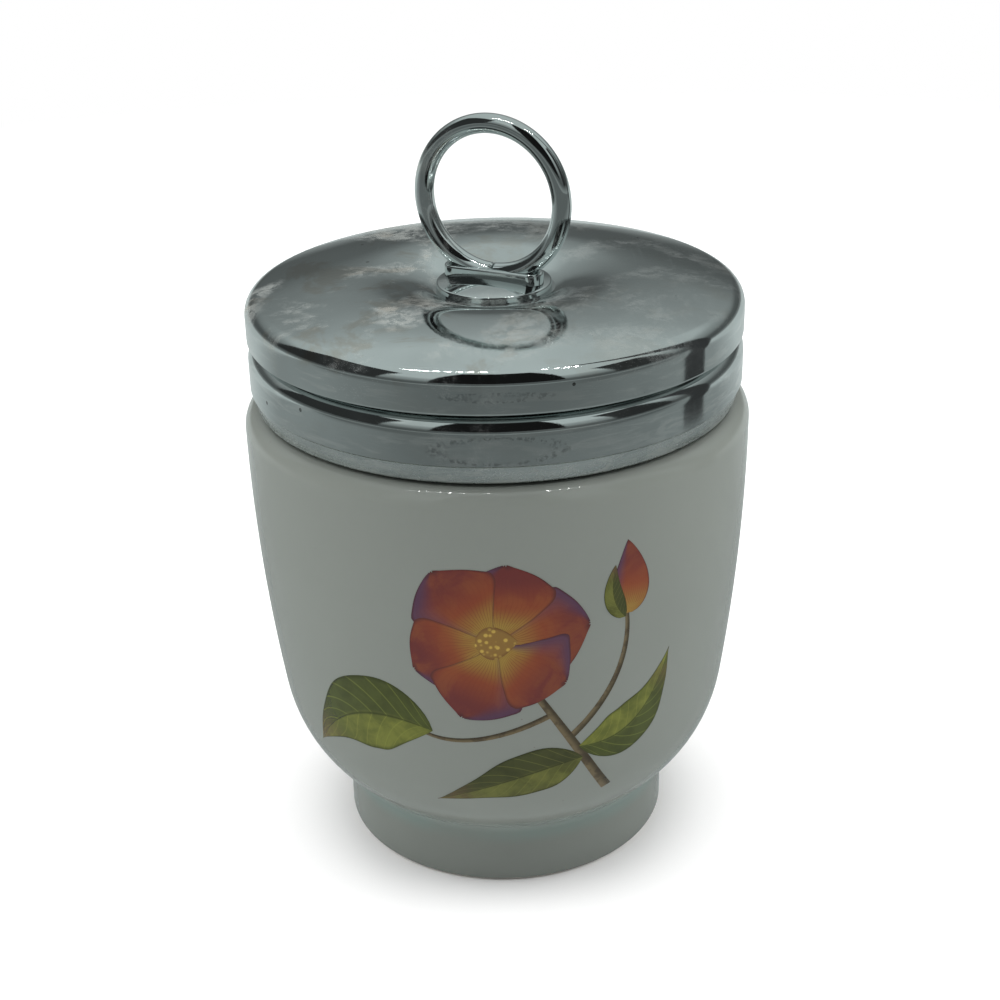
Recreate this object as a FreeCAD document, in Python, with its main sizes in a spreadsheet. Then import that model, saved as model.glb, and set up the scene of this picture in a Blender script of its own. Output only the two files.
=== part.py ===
import FreeCAD, Part
import math
import os
import Sketcher

# Egg coddler: a porcelain cup with a screw lid of plated metal and a ring handle.
# Millimetres. The origin is the centre of the foot's resting face, +Z is up,
# and the decorated front of the cup faces -Y.

doc = FreeCAD.newDocument("EggCoddler")

# Driving sizes
sheet = doc.addObject("Spreadsheet::Sheet", "Sizes")
SIZES = [
    # Porcelain cup, outside
    ("foot_radius", 20.9),
    ("foot_edge_round", 0.8),
    ("foot_neck_round", 2.2),
    ("foot_wall", 3.5),
    ("recess_height", 2.6),
    ("recess_round", 1.2),
    ("base_curve", 20.3),
    ("belly_height", 21.5),
    ("body_overhang", 1.0),
    ("wall_curve", 250.0),
    ("shoulder_height", 58.8),
    ("shoulder_round", 2.5),
    ("neck_radius", 25.8),
    ("neck_root_round", 0.8),
    ("neck_length", 13.0),
    ("rim_round", 0.9),
    # Porcelain cup, inside
    ("body_wall", 3.4),
    ("neck_wall", 2.7),
    ("inner_shoulder_drop", 8.3),
    ("inner_shoulder_round", 6.0),
    ("mouth_round", 4.0),
    # Screw thread
    ("thread_pitch", 4.6),
    ("thread_depth", 1.2),
    ("thread_root_width", 1.8),
    ("thread_crest_width", 0.8),
    ("neck_thread_turns", 1.1),
    ("neck_thread_rise", 2.2),
    ("liner_thread_turns", 0.7),
    ("liner_thread_lead", 0.1),
    ("thread_flank_gap", 0.25),
    ("thread_radial_gap", 0.4),
    ("thread_bore_gap", 0.45),
    ("thread_sink", 0.4),
    # Thread liner
    ("liner_thickness", 1.2),
    ("liner_fit", 0.05),
    ("liner_top_gap", 0.75),
    ("liner_chamfer", 0.4),
    # Lid shell, from the lip up
    ("sheet_thickness", 0.6),
    ("lid_gap", 0.3),
    ("curl_width", 1.0),
    ("lip_edge_round", 0.4),
    ("lip_inset", 0.7),
    ("lip_step", 0.2),
    ("lip_length", 2.4),
    ("band_wall", 3.35),
    ("band_round", 2.1),
    ("groove_width", 0.35),
    ("crease_round", 0.35),
    ("edge_round", 2.1),
    ("rim_gap", 0.55),
    ("crown_curve", 57.0),
    ("crest_radius", 16.0),
    ("seat_depth", 1.8),
    ("seat_margin", 0.4),
    # Ring handle
    ("ring_radius", 8.95),
    ("wire_radius", 1.17),
    ("ring_flat", 0.72),
    ("ring_yaw", -25.8),
    ("notch_depth", 0.45),
    ("notch_half_angle", 35.0),
    # Oblong saddle under the ring
    ("saddle_length", 12.8),
    ("saddle_wall", 0.45),
    ("saddle_thickness", 1.1),
    ("saddle_edge_round", 0.3),
    ("braze_gap", 0.03),
    # Round boss and its rivet spigot
    ("boss_radius", 7.0),
    ("boss_thickness", 0.85),
    ("boss_dome", 0.5),
    ("boss_edge_round", 0.3),
    ("spigot_radius", 1.6),
    ("spigot_fit", 0.05),
    ("head_radius", 2.6),
    ("head_thickness", 0.8),
    ("head_round", 0.6),
    # Backing washer
    ("washer_radius", 4.5),
    ("washer_thickness", 0.8),
    ("washer_clearance", 0.3),
]
for row, (alias, value) in enumerate(SIZES, start=1):
    sheet.set(f"A{row}", alias)
    sheet.set(f"B{row}", str(value))
    sheet.setAlias(f"B{row}", alias)
doc.recompute()

ALIASES = sorted((alias for alias, value in SIZES), key=len, reverse=True)


def bound(formula):
    """A formula in size names, written as an expression on the spreadsheet."""
    words = []
    word = ""
    for letter in formula + " ":
        if letter.isalnum() or letter == "_":
            word += letter
            continue
        words.append("Sizes." + word if word in ALIASES else word)
        words.append(letter)
        word = ""
    return "".join(words).strip()


def value_of(formula):
    """The number that a formula in size names has now."""
    return float(sheet.evalExpression(bound(formula)))


def new_body(label):
    """An empty body whose label is the sub-part's name."""
    body = doc.addObject("PartDesign::Body", "Body_" + label)
    body.Label = label
    return body


def origin_plane(body, role):
    """One of the body's own origin planes or axes."""
    for feature in body.Origin.OriginFeatures:
        if feature.Role == role:
            return feature
    raise ValueError(role)


def new_sketch(body, name, role):
    """A sketch on one of the body's own origin planes."""
    sketch = body.newObject("Sketcher::SketchObject", name)
    sketch.AttachmentSupport = (origin_plane(body, role), [""])
    sketch.MapMode = "FlatFace"
    return sketch


def bind(sketch, kind, geometry, point, formula):
    """Holds one coordinate of a point at a formula's value."""
    value = value_of(formula)
    if abs(value) < 1e-9 and formula == "0":
        axis = -2 if kind == "DistanceX" else -1
        sketch.addConstraint(Sketcher.Constraint("PointOnObject", geometry, point, axis))
        return
    index = sketch.addConstraint(Sketcher.Constraint(kind, -1, 1, geometry, point, value))
    sketch.setExpression(f"Constraints[{index}]", bound(formula))


def arc_between(start, end, radius, turn):
    """The short arc from start to end. A turn of 1 runs anticlockwise and -1 clockwise."""
    chord = end - start
    middle = (start + end) * 0.5
    rise = math.sqrt(max(radius ** 2 - (chord.Length / 2) ** 2, 0.0))
    side = FreeCAD.Vector(-chord.y, chord.x, 0).normalize()
    centre = middle + side * rise * turn
    first = math.atan2(start.y - centre.y, start.x - centre.x)
    last = math.atan2(end.y - centre.y, end.x - centre.x)
    circle = Part.Circle(centre, FreeCAD.Vector(0, 0, 1), radius)
    if turn > 0:
        return Part.ArcOfCircle(circle, first, last)
    return Part.ArcOfCircle(circle, last, first)


def draw_outline(sketch, corners):
    """A closed outline through corners of formulas (across, up), or (across, up, radius, turn)
    where an arc of that radius leads to the corner."""
    places = [FreeCAD.Vector(value_of(c[0]), value_of(c[1]), 0) for c in corners]
    ends = []
    for number, corner in enumerate(corners):
        start = places[number - 1]
        end = places[number]
        if len(corner) == 4:
            radius, turn = corner[2], corner[3]
            edge = sketch.addGeometry(arc_between(start, end, value_of(radius), turn), False)
            index = sketch.addConstraint(Sketcher.Constraint("Radius", edge, value_of(radius)))
            sketch.setExpression(f"Constraints[{index}]", bound(radius))
            ends.append((edge, 1, 2) if turn > 0 else (edge, 2, 1))
        else:
            edge = sketch.addGeometry(Part.LineSegment(start, end), False)
            ends.append((edge, 1, 2))
    for number, corner in enumerate(corners):
        edge, first, last = ends[number]
        following = ends[(number + 1) % len(ends)]
        sketch.addConstraint(Sketcher.Constraint("Coincident", edge, last, following[0], following[1]))
        bind(sketch, "DistanceX", edge, last, corner[0])
        bind(sketch, "DistanceY", edge, last, corner[1])


def revolve(body, sketch, name, kind="PartDesign::Revolution", axis="V_Axis"):
    """A full turn of a sketch about one of its own axes."""
    turned = body.newObject(kind, name)
    turned.Profile = sketch
    turned.ReferenceAxis = (sketch, [axis])
    turned.Angle = 360.0
    doc.recompute()
    return turned


def cut_through(body, sketch, name):
    """A pocket both ways from the sketch's plane through the whole body."""
    pocket = body.newObject("PartDesign::Pocket", name)
    pocket.Profile = sketch
    pocket.Type = "ThroughAll"
    pocket.Midplane = True
    doc.recompute()
    return pocket


def draw_wire(sketch, radius):
    """The round section of the ring's wire at its lowest point, and the ring's axis."""
    centre_z = f"{RING_BOTTOM} + wire_radius"
    circle = Part.Circle(FreeCAD.Vector(0, value_of(centre_z), 0), FreeCAD.Vector(0, 0, 1), value_of(radius))
    edge = sketch.addGeometry(circle, False)
    bind(sketch, "DistanceX", edge, 3, "0")
    bind(sketch, "DistanceY", edge, 3, centre_z)
    index = sketch.addConstraint(Sketcher.Constraint("Radius", edge, value_of(radius)))
    sketch.setExpression(f"Constraints[{index}]", bound(radius))
    left = FreeCAD.Vector(-value_of("wire_radius"), value_of(RING_HEIGHT), 0)
    right = FreeCAD.Vector(value_of("wire_radius"), value_of(RING_HEIGHT), 0)
    axis = sketch.addGeometry(Part.LineSegment(left, right), True)
    bind(sketch, "DistanceX", axis, 1, "-wire_radius")
    bind(sketch, "DistanceY", axis, 1, RING_HEIGHT)
    bind(sketch, "DistanceX", axis, 2, "wire_radius")
    bind(sketch, "DistanceY", axis, 2, RING_HEIGHT)


def place_turned(body, formula):
    """Turns a body about the vertical axis by a formula in degrees."""
    turn = FreeCAD.Rotation(FreeCAD.Vector(0, 0, 1), value_of(formula))
    body.Placement = FreeCAD.Placement(FreeCAD.Vector(0, 0, 0), turn)
    body.setExpression("Placement.Rotation.Angle", bound(formula))
    body.setExpression("Placement.Rotation.Axis.z", "1")


def wind_thread(body, name, corners, turns):
    """A helical ridge of the given section about the vertical axis."""
    sketch = new_sketch(body, name + "_section", "XZ_Plane")
    draw_outline(sketch, corners)
    doc.recompute()
    ridge = body.newObject("PartDesign::AdditiveHelix", name)
    ridge.Profile = sketch
    ridge.ReferenceAxis = (sketch, ["V_Axis"])
    ridge.Mode = 1
    ridge.setExpression("Pitch", bound("thread_pitch"))
    ridge.setExpression("Turns", bound(turns))
    doc.recompute()
    return ridge


# Radii from the neck outward
MOUTH_RADIUS = "(neck_radius - neck_wall)"
NECK_CREST = "(neck_radius + thread_depth)"
LINER_CREST = "(neck_radius + thread_radial_gap)"
LINER_BORE = f"({NECK_CREST} + thread_bore_gap)"
LINER_RADIUS = f"({LINER_BORE} + liner_thickness)"
LIP_RADIUS = f"({LINER_RADIUS} + liner_fit + sheet_thickness)"
LID_RADIUS = f"({LIP_RADIUS} + lip_inset)"
BODY_RADIUS = f"({LID_RADIUS} + body_overhang)"

# Heights from the cup's shoulder upward
LIP_BOTTOM = "(shoulder_height + lid_gap)"
LIP_TOP = f"({LIP_BOTTOM} + lip_length)"
BAND_TOP = f"({LIP_TOP} + band_wall)"
GROOVE_LOW = f"({BAND_TOP} + band_round)"
GROOVE_TOP = f"({GROOVE_LOW} + groove_width)"
LINER_SEAT = f"({LIP_BOTTOM} + sheet_thickness)"
LINER_TOP = f"({GROOVE_LOW} - sheet_thickness - liner_top_gap)"
NECK_THREAD_START = "(shoulder_height + neck_thread_rise)"
THREAD_OFFSET = "((thread_root_width + thread_crest_width) / 2 + thread_flank_gap)"
RIM_HEIGHT = "(shoulder_height + neck_length)"
CROWN_CENTRE = (f"({RIM_HEIGHT} + rim_gap - sqrt((crown_curve - sheet_thickness)^2"
                f" - (neck_radius - crest_radius)^2))")
CREST_HEIGHT = f"({CROWN_CENTRE} + crown_curve)"
SEAT_HEIGHT = f"({CREST_HEIGHT} - seat_depth)"
BOSS_EDGE = f"({SEAT_HEIGHT} + boss_thickness)"
BOSS_TOP = f"({BOSS_EDGE} + boss_dome)"
DOME_CURVE = "((boss_radius^2 + boss_dome^2) / (2 * boss_dome))"
RING_BOTTOM = f"({BOSS_TOP} - ring_flat)"
RING_HEIGHT = f"({RING_BOTTOM} + wire_radius + ring_radius)"
WASHER_TOP = f"({SEAT_HEIGHT} - sheet_thickness)"
HEAD_TOP = f"({WASHER_TOP} - washer_thickness)"

# The cup's wall and base arcs
SHOULDER_TANGENT = "(shoulder_height - shoulder_round)"
WALL_CENTRE_R = f"({BODY_RADIUS} - wall_curve)"
BELLY_R = f"({WALL_CENTRE_R} + sqrt(wall_curve^2 - ({SHOULDER_TANGENT} - belly_height)^2))"
BASE_CENTRE_R = f"({BELLY_R} + ({WALL_CENTRE_R} - {BELLY_R}) * base_curve / wall_curve)"
BASE_CENTRE_Z = f"(belly_height + ({SHOULDER_TANGENT} - belly_height) * base_curve / wall_curve)"


def make_cup():
    """Porcelain cup: foot ring, rounded belly, shoulder and threaded neck, in one piece."""
    body = new_body("cup")
    reach = "(base_curve + foot_neck_round)"
    fillet_r = "(foot_radius + foot_neck_round)"
    fillet_z = f"({BASE_CENTRE_Z} - sqrt({reach}^2 - ({fillet_r} - {BASE_CENTRE_R})^2))"
    base_r = f"({BASE_CENTRE_R} + ({fillet_r} - {BASE_CENTRE_R}) * base_curve / {reach})"
    base_z = f"({BASE_CENTRE_Z} + ({fillet_z} - {BASE_CENTRE_Z}) * base_curve / {reach})"
    inner_belly_r = f"({BELLY_R} + ({WALL_CENTRE_R} - {BELLY_R}) * body_wall / wall_curve)"
    inner_belly_z = f"(belly_height + ({SHOULDER_TANGENT} - belly_height) * body_wall / wall_curve)"
    inner_shoulder = "(shoulder_height - inner_shoulder_drop)"
    drop = f"({SHOULDER_TANGENT} - {inner_shoulder})"
    recess = "(foot_radius - foot_wall)"
    inner_wall_r = f"({WALL_CENTRE_R} + sqrt((wall_curve - body_wall)^2 - {drop}^2))"
    bends = "(inner_shoulder_round + mouth_round)"
    lean = f"(1 - ({inner_wall_r} - {MOUTH_RADIUS}) / {bends})"
    rise = f"sqrt(1 - {lean}^2)"
    floor_z = f"({BASE_CENTRE_Z} - (base_curve - body_wall))"
    corners = [
        ("0", "recess_height"),
        (f"{recess} - recess_round", "recess_height"),
        (recess, "recess_height - recess_round", "recess_round", -1),
        (recess, "foot_edge_round"),
        (f"{recess} + foot_edge_round", "0", "foot_edge_round", 1),
        ("foot_radius - foot_edge_round", "0"),
        ("foot_radius", "foot_edge_round", "foot_edge_round", 1),
        ("foot_radius", fillet_z),
        (base_r, base_z, "foot_neck_round", -1),
        (BELLY_R, "belly_height", "base_curve", 1),
        (BODY_RADIUS, SHOULDER_TANGENT, "wall_curve", 1),
        (f"{BODY_RADIUS} - shoulder_round", "shoulder_height", "shoulder_round", 1),
        ("neck_radius + neck_root_round", "shoulder_height"),
        ("neck_radius", "shoulder_height + neck_root_round", "neck_root_round", -1),
        ("neck_radius", f"{RIM_HEIGHT} - rim_round"),
        ("neck_radius - rim_round", RIM_HEIGHT, "rim_round", 1),
        (f"{MOUTH_RADIUS} + rim_round", RIM_HEIGHT),
        (MOUTH_RADIUS, f"{RIM_HEIGHT} - rim_round", "rim_round", 1),
        (MOUTH_RADIUS, f"{inner_shoulder} + {bends} * {rise}"),
        (f"{MOUTH_RADIUS} + mouth_round * (1 - {lean})",
         f"{inner_shoulder} + inner_shoulder_round * {rise}", "mouth_round", 1),
        (inner_wall_r, inner_shoulder, "inner_shoulder_round", -1),
        (inner_belly_r, inner_belly_z, "wall_curve - body_wall", -1),
        (BASE_CENTRE_R, floor_z, "base_curve - body_wall", -1),
        ("0", floor_z),
    ]
    section = new_sketch(body, "cup_section", "XZ_Plane")
    draw_outline(section, corners)
    doc.recompute()
    revolve(body, section, "cup_turned")
    ridge = [
        ("neck_radius - thread_sink", f"{NECK_THREAD_START} - thread_root_width / 2"),
        (NECK_CREST, f"{NECK_THREAD_START} - thread_crest_width / 2"),
        (NECK_CREST, f"{NECK_THREAD_START} + thread_crest_width / 2"),
        ("neck_radius - thread_sink", f"{NECK_THREAD_START} + thread_root_width / 2"),
    ]
    wind_thread(body, "neck_thread", ridge, "neck_thread_turns")
    return body


def make_lid_shell():
    """Pressed metal cap: sunk centre, raised crown, two bands with a groove between, curled lip."""
    body = new_body("lid_shell")
    round_r = f"({LID_RADIUS} - edge_round)"
    round_z = f"({CROWN_CENTRE} + sqrt((crown_curve - edge_round)^2 - ({round_r} - crest_radius)^2))"
    span = "(crown_curve - edge_round)"
    crown_r = f"(crest_radius + ({round_r} - crest_radius) * crown_curve / {span})"
    crown_z = f"({CROWN_CENTRE} + ({round_z} - {CROWN_CENTRE}) * crown_curve / {span})"
    under = "(crown_curve - sheet_thickness)"
    under_r = f"(crest_radius + ({round_r} - crest_radius) * {under} / {span})"
    under_z = f"({CROWN_CENTRE} + ({round_z} - {CROWN_CENTRE}) * {under} / {span})"
    seat_r = "(boss_radius + seat_margin)"
    dish_curve = f"(((crest_radius - {seat_r})^2 + seat_depth^2) / (2 * seat_depth))"
    below = f"({dish_curve} - sheet_thickness)"
    under_seat_r = f"(crest_radius - sqrt({below}^2 - ({WASHER_TOP} - {CREST_HEIGHT} + {dish_curve})^2))"
    hole = "(spigot_radius + spigot_fit)"
    wall = f"({LID_RADIUS} - sheet_thickness)"
    band_r = f"({LID_RADIUS} - band_round)"
    half_groove = "groove_width / 2"
    bulge = "(groove_width / 2 + sheet_thickness)"
    lip_inner = f"({LIP_RADIUS} - sheet_thickness)"
    corners = [
        (hole, SEAT_HEIGHT),
        (hole, WASHER_TOP),
        (under_seat_r, WASHER_TOP),
        ("crest_radius", f"{CREST_HEIGHT} - sheet_thickness", below, -1),
        (under_r, under_z, under, -1),
        (wall, round_z, "edge_round - sheet_thickness", -1),
        (wall, f"{GROOVE_TOP} + sheet_thickness"),
        (band_r, f"{GROOVE_TOP} + sheet_thickness"),
        (f"{band_r} - {bulge}", f"{GROOVE_TOP} - {half_groove}", bulge, 1),
        (band_r, f"{GROOVE_LOW} - sheet_thickness", bulge, 1),
        (wall, BAND_TOP, "band_round - sheet_thickness", -1),
        (wall, LIP_TOP),
        (f"{wall} - lip_step", f"{LIP_TOP} - lip_step"),
        (lip_inner, LINER_SEAT),
        (f"{lip_inner} - curl_width", LINER_SEAT),
        (f"{lip_inner} - curl_width", LIP_BOTTOM),
        (f"{LIP_RADIUS} - lip_edge_round", LIP_BOTTOM),
        (LIP_RADIUS, f"{LIP_BOTTOM} + lip_edge_round", "lip_edge_round", 1),
        (f"{LID_RADIUS} - lip_step", f"{LIP_TOP} - lip_step"),
        (LID_RADIUS, LIP_TOP),
        (LID_RADIUS, BAND_TOP),
        (band_r, GROOVE_LOW, "band_round", 1),
        (f"{band_r} - {half_groove}", f"{GROOVE_TOP} - {half_groove}", half_groove, -1),
        (band_r, GROOVE_TOP, half_groove, -1),
        (f"{LID_RADIUS} - crease_round", GROOVE_TOP),
        (LID_RADIUS, f"{GROOVE_TOP} + crease_round", "crease_round", 1),
        (LID_RADIUS, round_z),
        (crown_r, crown_z, "edge_round", 1),
        ("crest_radius", CREST_HEIGHT, "crown_curve", 1),
        (seat_r, SEAT_HEIGHT, dish_curve, 1),
    ]
    section = new_sketch(body, "shell_section", "XZ_Plane")
    draw_outline(section, corners)
    doc.recompute()
    revolve(body, section, "shell_turned")
    return body


def make_thread_liner():
    """Threaded ring inside the cap, resting on the curled lip."""
    body = new_body("thread_liner")
    corners = [
        (LINER_BORE, LINER_SEAT),
        (LINER_RADIUS, LINER_SEAT),
        (LINER_RADIUS, f"{LINER_TOP} - liner_chamfer"),
        (f"{LINER_RADIUS} - liner_chamfer", LINER_TOP),
        (LINER_BORE, LINER_TOP),
    ]
    section = new_sketch(body, "liner_section", "XZ_Plane")
    draw_outline(section, corners)
    doc.recompute()
    revolve(body, section, "liner_turned")
    start = f"({LINER_SEAT} + thread_root_width / 2 + liner_thread_lead)"
    ridge = [
        (f"{LINER_BORE} + thread_sink", f"{start} - thread_root_width / 2"),
        (f"{LINER_BORE} + thread_sink", f"{start} + thread_root_width / 2"),
        (LINER_CREST, f"{start} + thread_crest_width / 2"),
        (LINER_CREST, f"{start} - thread_crest_width / 2"),
    ]
    wind_thread(body, "liner_thread", ridge, "liner_thread_turns")
    # The ridge starts low in the liner, and the liner is turned so that it lies under the neck's ridge.
    place_turned(body, f"360 * ({start} + {THREAD_OFFSET} - {NECK_THREAD_START}) / thread_pitch")
    return body


def make_ring():
    """Ring handle of round wire, flat where it sits on the boss, its ends meeting in a small notch."""
    body = new_body("ring")
    wire = new_sketch(body, "wire_section", "YZ_Plane")
    draw_wire(wire, "wire_radius")
    doc.recompute()
    revolve(body, wire, "wire_ring", axis="Axis0")
    bottom = f"({RING_BOTTOM} - wire_radius)"
    below = new_sketch(body, "foot_cut", "XZ_Plane")
    draw_outline(below, [
        ("-ring_radius", bottom),
        ("ring_radius", bottom),
        ("ring_radius", BOSS_TOP),
        ("-ring_radius", BOSS_TOP),
    ])
    cut_through(body, below, "flat_foot")
    bore_bottom = f"({RING_BOTTOM} + 2 * wire_radius)"
    half = "((notch_depth + wire_radius) * tan(notch_half_angle * 1 deg))"
    notch = new_sketch(body, "notch_cut", "XZ_Plane")
    draw_outline(notch, [
        ("0", f"{bore_bottom} - notch_depth"),
        (half, f"{bore_bottom} + wire_radius"),
        (f"-{half}", f"{bore_bottom} + wire_radius"),
    ])
    cut_through(body, notch, "end_notch")
    place_turned(body, "ring_yaw")
    return body


def make_saddle():
    """Oblong foot under the ring, hollowed for the wire."""
    body = new_body("ring_saddle")
    half = "(wire_radius + braze_gap + saddle_wall)"
    straight = f"(saddle_length / 2 - {half})"
    outline = new_sketch(body, "saddle_outline", "XY_Plane")
    draw_outline(outline, [
        (f"-{straight}", f"-{half}", half, 1),
        (straight, f"-{half}"),
        ("saddle_length / 2", "0", half, 1),
        (straight, half, half, 1),
        (f"-{straight}", half),
        ("-saddle_length / 2", "0", half, 1),
    ])
    outline.setExpression("AttachmentOffset.Base.z", bound(BOSS_EDGE))
    doc.recompute()
    block = body.newObject("PartDesign::Pad", "saddle_block")
    block.Profile = outline
    block.setExpression("Length", bound("saddle_thickness + boss_dome"))
    doc.recompute()
    top = block.Shape.BoundBox.ZMax
    rim = [f"Edge{number}" for number, edge in enumerate(block.Shape.Edges, start=1)
           if abs(edge.BoundBox.ZMin - top) < 1e-6]
    soft = body.newObject("PartDesign::Fillet", "saddle_rim")
    soft.Base = (block, rim)
    soft.setExpression("Radius", bound("saddle_edge_round"))
    doc.recompute()
    wire = new_sketch(body, "wire_bed_section", "YZ_Plane")
    draw_wire(wire, "wire_radius + braze_gap")
    doc.recompute()
    revolve(body, wire, "wire_bed", kind="PartDesign::Groove", axis="Axis0")
    # The underside follows the boss's domed top, a braze gap above it.
    reach = "(saddle_length / 2 + saddle_wall)"
    seat = new_sketch(body, "dome_bed_section", "XZ_Plane")
    draw_outline(seat, [
        ("0", f"{BOSS_EDGE} - boss_dome"),
        (reach, f"{BOSS_EDGE} - boss_dome"),
        (reach, f"{BOSS_TOP} + braze_gap - {DOME_CURVE} + sqrt({DOME_CURVE}^2 - {reach}^2)"),
        ("0", f"{BOSS_TOP} + braze_gap", DOME_CURVE, 1),
    ])
    doc.recompute()
    revolve(body, seat, "dome_bed", kind="PartDesign::Groove")
    place_turned(body, "ring_yaw")
    return body


def make_boss():
    """Round domed flange on the lid, with the spigot that goes through it and is riveted over the washer."""
    body = new_body("ring_boss")
    centre = f"({BOSS_TOP} - {DOME_CURVE})"
    round_r = "(boss_radius - boss_edge_round)"
    inner_curve = f"({DOME_CURVE} - boss_edge_round)"
    round_z = f"({centre} + sqrt({inner_curve}^2 - {round_r}^2))"
    dome_r = f"({round_r} * {DOME_CURVE} / {inner_curve})"
    dome_z = f"({centre} + ({round_z} - {centre}) * {DOME_CURVE} / {inner_curve})"
    head_bottom = f"({HEAD_TOP} - head_thickness)"
    section = new_sketch(body, "boss_section", "XZ_Plane")
    draw_outline(section, [
        ("0", head_bottom),
        ("head_radius - head_round", head_bottom),
        ("head_radius", f"{head_bottom} + head_round", "head_round", 1),
        ("head_radius", HEAD_TOP),
        ("spigot_radius", HEAD_TOP),
        ("spigot_radius", SEAT_HEIGHT),
        ("boss_radius", SEAT_HEIGHT),
        ("boss_radius", round_z),
        (dome_r, dome_z, "boss_edge_round", 1),
        ("0", BOSS_TOP, DOME_CURVE, 1),
    ])
    doc.recompute()
    revolve(body, section, "boss_turned")
    return body


def make_washer():
    """Plain washer under the lid's centre."""
    disc = doc.addObject("Part::Cylinder", "washer_disc")
    disc.setExpression("Radius", bound("washer_radius"))
    disc.setExpression("Height", bound("washer_thickness"))
    disc.setExpression("Placement.Base.z", bound(HEAD_TOP))
    bore = doc.addObject("Part::Cylinder", "washer_bore")
    bore.setExpression("Radius", bound("spigot_radius + washer_clearance"))
    bore.setExpression("Height", bound("washer_thickness"))
    bore.setExpression("Placement.Base.z", bound(HEAD_TOP))
    washer = doc.addObject("Part::Cut", "Washer")
    washer.Label = "backing_washer"
    washer.Base = disc
    washer.Tool = bore
    doc.recompute()
    return washer


parts = [
    make_cup(),
    make_lid_shell(),
    make_thread_liner(),
    make_ring(),
    make_saddle(),
    make_boss(),
    make_washer(),
]
doc.recompute()

for item in doc.Objects:
    if "Invalid" in item.State or "Error" in item.State:
        raise RuntimeError(f"{item.Label} did not build: {item.State}")
for part in parts:
    if part.Shape.isNull() or not part.Shape.isValid() or len(part.Shape.Solids) != 1:
        raise RuntimeError(f"{part.Label} is not one valid solid")

os.makedirs("parts", exist_ok=True)
for part in parts:
    part.Shape.exportStep(f"parts/{part.Label}.step")
    print(part.Label, round(part.Shape.Volume, 1), "mm3")
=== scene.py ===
import math
import bpy
from mathutils import Matrix, Vector


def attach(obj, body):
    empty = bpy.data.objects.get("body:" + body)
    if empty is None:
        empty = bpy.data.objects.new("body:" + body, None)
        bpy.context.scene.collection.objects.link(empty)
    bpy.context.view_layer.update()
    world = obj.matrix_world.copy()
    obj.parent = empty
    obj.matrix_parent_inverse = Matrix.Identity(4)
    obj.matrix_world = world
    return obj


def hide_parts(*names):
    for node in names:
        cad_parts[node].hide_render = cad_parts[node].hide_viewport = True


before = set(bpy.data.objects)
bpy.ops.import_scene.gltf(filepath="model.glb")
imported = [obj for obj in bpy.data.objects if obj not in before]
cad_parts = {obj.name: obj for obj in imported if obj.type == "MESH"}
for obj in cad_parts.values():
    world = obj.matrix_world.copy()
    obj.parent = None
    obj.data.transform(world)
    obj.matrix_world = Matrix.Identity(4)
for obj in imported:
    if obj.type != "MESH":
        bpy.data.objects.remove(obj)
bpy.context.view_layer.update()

MM = 0.001

# Sizes of the coddler in millimetres, the same as in the solids
SHOULDER = 58.8
SHOULDER_ROUND = 2.5
BODY_R = 31.0
WALL_CURVE = 250.0
BELLY = 21.5
BASE_CURVE = 20.3
FOOT_R = 20.9
FOOT_ROUND = 0.8
FOOT_NECK_ROUND = 2.2
RECESS_R = 17.4
RECESS_H = 2.6
RECESS_ROUND = 1.2
NECK_R = 25.8
NECK_ROOT_ROUND = 0.8
RIM = 71.8
RIM_ROUND = 0.9
MOUTH_R = 23.1
BODY_WALL = 3.4
INNER_SHOULDER = 50.5
INNER_ROUND = 6.0
MOUTH_ROUND = 4.0
PITCH = 4.6
NECK_CREST = 27.0
NECK_THREAD = 61.0
LINER_CREST = 26.2
LINER_BORE = 27.45
LINER_R = 28.65
LINER_LOW = 59.7
LINER_TOP = 65.6
LINER_THREAD = 60.7
THREAD_OFFSET = 1.55
LID_R = 30.0
SHEET = 0.6
LIP_R = 29.3
LIP_LOW = 59.1
LIP_TOP = 61.5
LIP_STEP = 0.2
LIP_EDGE = 0.4
CURL = 1.0
BAND_TOP = 64.85
BAND_ROUND = 2.1
GROOVE_LOW = 66.95
GROOVE_TOP = 67.3
GROOVE = 0.35
CREASE = 0.35
EDGE_ROUND = 2.1
CREST_R = 16.0
CREST = 73.808
CROWN_CURVE = 57.0
SEAT = 72.008
SEAT_R = 7.4
BOSS_R = 7.0
BOSS_TOP = 73.358
BOSS_EDGE = 0.3
DOME_CURVE = 49.25
SPIGOT_R = 1.6
WASHER_R = 4.5
WASHER_LOW = 70.608
WASHER_TOP = 71.408
HEAD_R = 2.6
HEAD_LOW = 69.808
RING_R = 8.95
WIRE_R = 1.17
RING_Z = 82.758
RING_YAW = math.radians(-25.8)
SADDLE_LENGTH = 12.8
SADDLE_HALF = 1.65
SADDLE_TOP = 74.458
SADDLE_EDGE = 0.3
BRAZE_GAP = 0.03
SPIGOT_GAP = 0.05
HEAD_ROUND = 0.6
WASHER_CLEARANCE = 0.3


# Mesh helpers

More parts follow.
